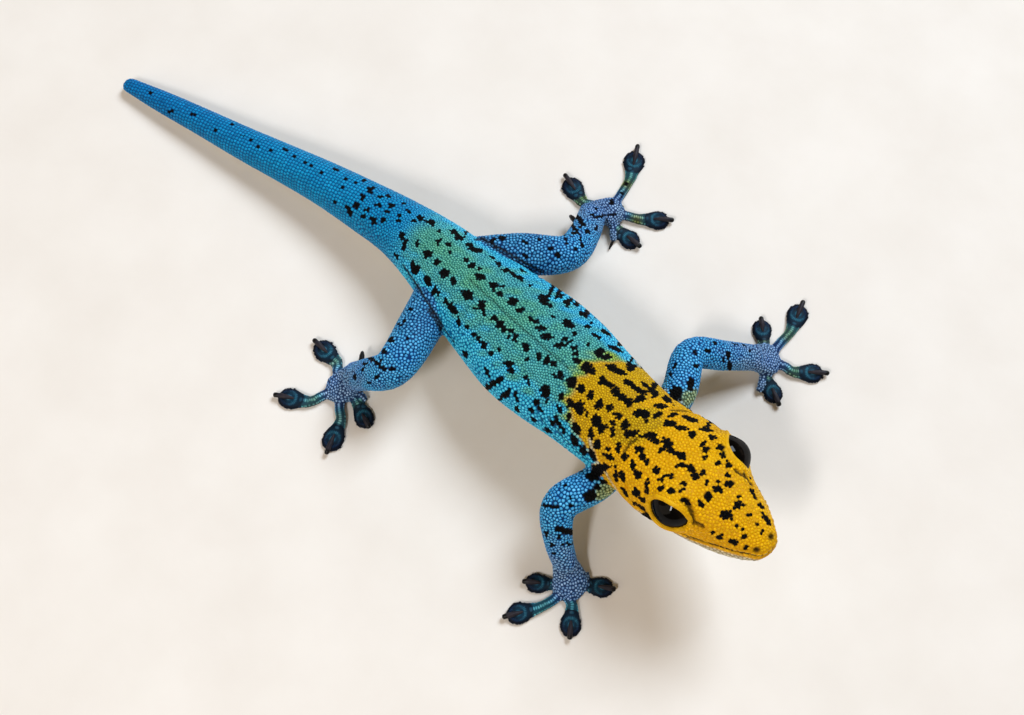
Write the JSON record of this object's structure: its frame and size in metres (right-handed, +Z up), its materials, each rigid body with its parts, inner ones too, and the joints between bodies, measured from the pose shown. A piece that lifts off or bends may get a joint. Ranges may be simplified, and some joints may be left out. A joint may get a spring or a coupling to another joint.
{
  "type": "yellow-headed dwarf gecko",
  "caption": "Life-size still model of a yellow-headed dwarf gecko standing on its spread toe pads, head raised and turned, tail laid along the floor.",
  "frame": {"origin": "on the floor, under the middle of the bounding box", "axes": "+X from the tip of the tail towards the head, +Y to the animal's left, +Z up"},
  "size_m": [0.0767, 0.0448, 0.0133],
  "materials": {
    "skin_yellow": "satin",
    "skin_teal": "satin",
    "skin_tail": "satin",
    "skin_leg": "satin",
    "skin_toe": "satin",
    "eye_dark": "gloss"
  },
  "bodies": {
    "root": {"head": "skin_yellow", "neck": "skin_yellow", "torso": "skin_teal", "tail_base": "skin_tail", "tail_middle": "skin_tail", "tail_tip": "skin_tail", "eye_left": "eye_dark", "eye_right": "eye_dark", "front_right_upper_arm": "skin_leg", "front_right_forearm": "skin_leg", "front_right_hand": "skin_leg", "front_right_toe_2": "skin_toe", "front_right_toe_3": "skin_toe", "front_right_toe_4": "skin_toe", "front_right_toe_5": "skin_toe", "front_left_upper_arm": "skin_leg", "front_left_forearm": "skin_leg", "front_left_hand": "skin_leg", "front_left_toe_2": "skin_toe", "front_left_toe_3": "skin_toe", "front_left_toe_4": "skin_toe", "front_left_toe_5": "skin_toe", "hind_right_thigh": "skin_leg", "hind_right_shin": "skin_leg", "hind_right_foot": "skin_leg", "hind_right_toe_2": "skin_toe", "hind_right_toe_3": "skin_toe", "hind_right_toe_4": "skin_toe", "hind_right_toe_5": "skin_toe", "hind_left_thigh": "skin_leg", "hind_left_shin": "skin_leg", "hind_left_foot": "skin_leg", "hind_left_toe_2": "skin_toe", "hind_left_toe_3": "skin_toe", "hind_left_toe_4": "skin_toe", "hind_left_toe_5": "skin_toe"}
  },
  "joints": []
}
